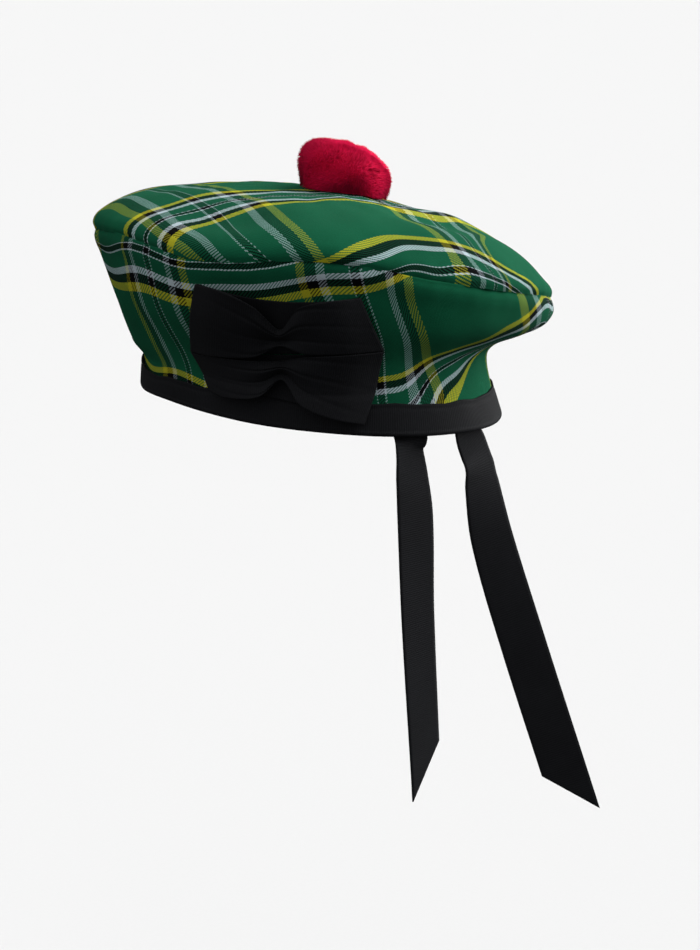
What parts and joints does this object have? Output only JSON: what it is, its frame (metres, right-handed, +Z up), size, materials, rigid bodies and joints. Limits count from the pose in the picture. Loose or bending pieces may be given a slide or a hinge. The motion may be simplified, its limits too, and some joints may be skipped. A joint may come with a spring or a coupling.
{
  "type": "balmoral bonnet",
  "caption": "Soft round tartan bonnet with an overhanging crown, ribbon-bound head opening, wool pompom on top, flat ribbon bow at one side and ribbon tails hanging at the back.",
  "frame": {"origin": "middle of the head opening, in the plane of the binding's lower edge, where the bonnet sits on a head", "axes": "+Z up through the crown; the wearer faces -Y; the bow is on the wearer's left, +X; the tails hang at the back, +Y"},
  "size_m": [0.2389, 0.2834, 0.3407],
  "materials": {
    "tartan_wool": "twill-woven wool tartan, green with black, white and yellow lines",
    "black_ribbon": "matt ribbed ribbon",
    "red_yarn": "cut wool pile"
  },
  "bodies": {
    "root": {"crown_side": "tartan_wool", "crown_top": "tartan_wool", "headband": "black_ribbon", "bow_upper": "black_ribbon", "bow_lower": "black_ribbon", "tail_left": "black_ribbon", "tail_right": "black_ribbon", "toorie": "red_yarn"}
  },
  "joints": []
}
